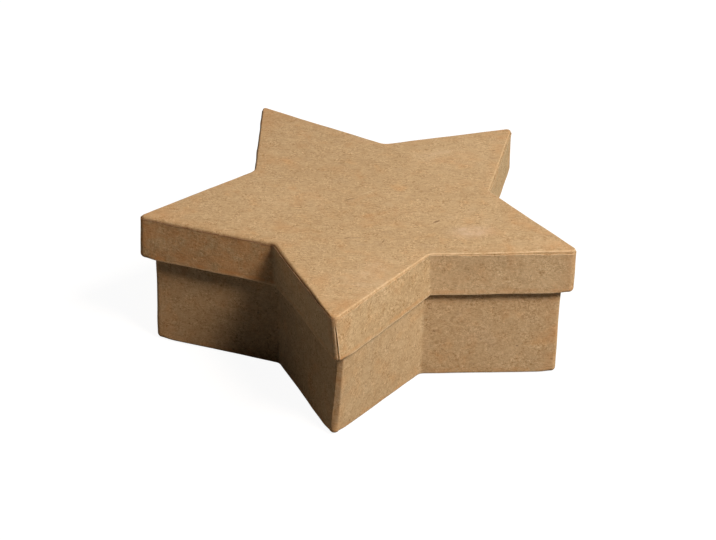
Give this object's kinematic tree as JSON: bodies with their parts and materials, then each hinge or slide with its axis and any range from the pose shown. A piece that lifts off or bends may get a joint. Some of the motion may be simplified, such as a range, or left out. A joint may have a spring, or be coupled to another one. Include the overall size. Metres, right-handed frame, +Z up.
{
  "type": "papier-mache star box",
  "caption": "Star-shaped box of board covered in brown kraft paper, with a lift-off lid whose rim laps over its walls.",
  "frame": {"origin": "on the underside, on the star's axis", "axes": "+Z up out of the box and through the lid; one point of the star faces -Y; +X to the right seen from that point"},
  "size_m": [0.1464, 0.1395, 0.047],
  "materials": {
    "greyboard": "matt pulp board, brown-grey",
    "kraft_paper": "matt brown kraft paper with fine fibre speckle"
  },
  "bodies": {
    "box": {"box_floor_board": "greyboard", "box_wall_strip": "greyboard", "box_wall_wrap": "kraft_paper", "box_bottom_sheet": "kraft_paper"},
    "lid": {"lid_top_board": "greyboard", "lid_rim_strip": "greyboard", "lid_top_sheet": "kraft_paper", "lid_rim_wrap": "kraft_paper"}
  },
  "joints": [
    {"name": "lid_lift", "type": "slide", "parent": "box", "child": "lid", "axis": [0, 0, 1], "range_m": [0, 0.06]}
  ]
}
